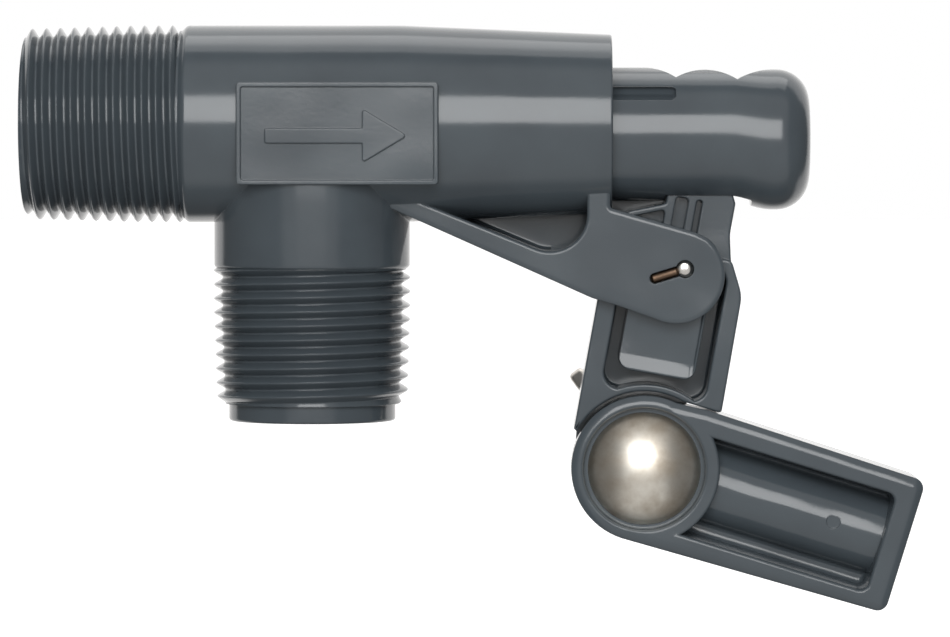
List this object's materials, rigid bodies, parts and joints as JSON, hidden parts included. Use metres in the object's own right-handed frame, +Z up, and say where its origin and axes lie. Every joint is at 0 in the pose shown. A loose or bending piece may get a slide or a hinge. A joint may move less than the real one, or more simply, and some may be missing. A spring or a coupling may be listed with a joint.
{
  "type": "float valve",
  "caption": "Plastic float valve: threaded inlet, threaded outlet pointing down, sliding plunger worked by a lever with a clamped float arm.",
  "frame": {"origin": "centre of the inlet's free end, on the inlet's axis", "axes": "+X along the inlet pipe towards the plunger, +Z up, the outlet points along -Z, the bolt's head faces -Y"},
  "size_m": [0.1215, 0.0336, 0.079],
  "materials": {
    "moulded_plastic": "dark blue-grey moulded plastic, semi-gloss",
    "stainless": "polished stainless steel",
    "rubber": "black rubber"
  },
  "bodies": {
    "valve": {"valve_body": "moulded_plastic", "orifice_seat": "moulded_plastic", "pivot_pin": "stainless"},
    "plunger_set": {"plunger": "moulded_plastic", "seal_disc": "rubber", "seal_washer": "stainless", "seal_screw": "stainless", "plunger_o_ring": "rubber"},
    "lever_set": {"lever": "moulded_plastic"},
    "arm_set": {"float_arm": "moulded_plastic", "arm_bolt": "stainless"},
    "washer_set": {"flat_washer": "stainless", "lock_washer": "stainless"},
    "nut_set": {"wing_nut": "stainless"}
  },
  "joints": [
    {"name": "lever_swing", "type": "hinge", "parent": "valve", "child": "lever_set", "pos_m": [0.08915, 0, -0.0195], "axis": [0, -1, 0], "range_deg": [0, 20.4]},
    {"name": "plunger_slide", "type": "slide", "parent": "valve", "child": "plunger_set", "axis": [-1, 0, 0], "range_m": [0, 0.00443]},
    {"name": "arm_adjust", "type": "hinge", "parent": "lever_set", "child": "arm_set", "pos_m": [0.08376, 0, -0.04642], "axis": [0, -1, 0], "range_deg": [-90, 0]},
    {"name": "nut_advance", "type": "slide", "parent": "arm_set", "child": "washer_set", "axis": [0, 1, 0], "range_m": [0, 0.0025]},
    {"name": "nut_turn", "type": "hinge", "parent": "washer_set", "child": "nut_set", "pos_m": [0.08376, 0.0078, -0.04642], "axis": [0, 1, 0], "range_deg": [0, 708]}
  ],
  "couplings": [
    {"joint": "plunger_slide", "follows": "lever_swing", "m_per_rad": 0.012434},
    {"joint": "nut_advance", "follows": "nut_turn", "m_per_rad": 0.00020213}
  ]
}
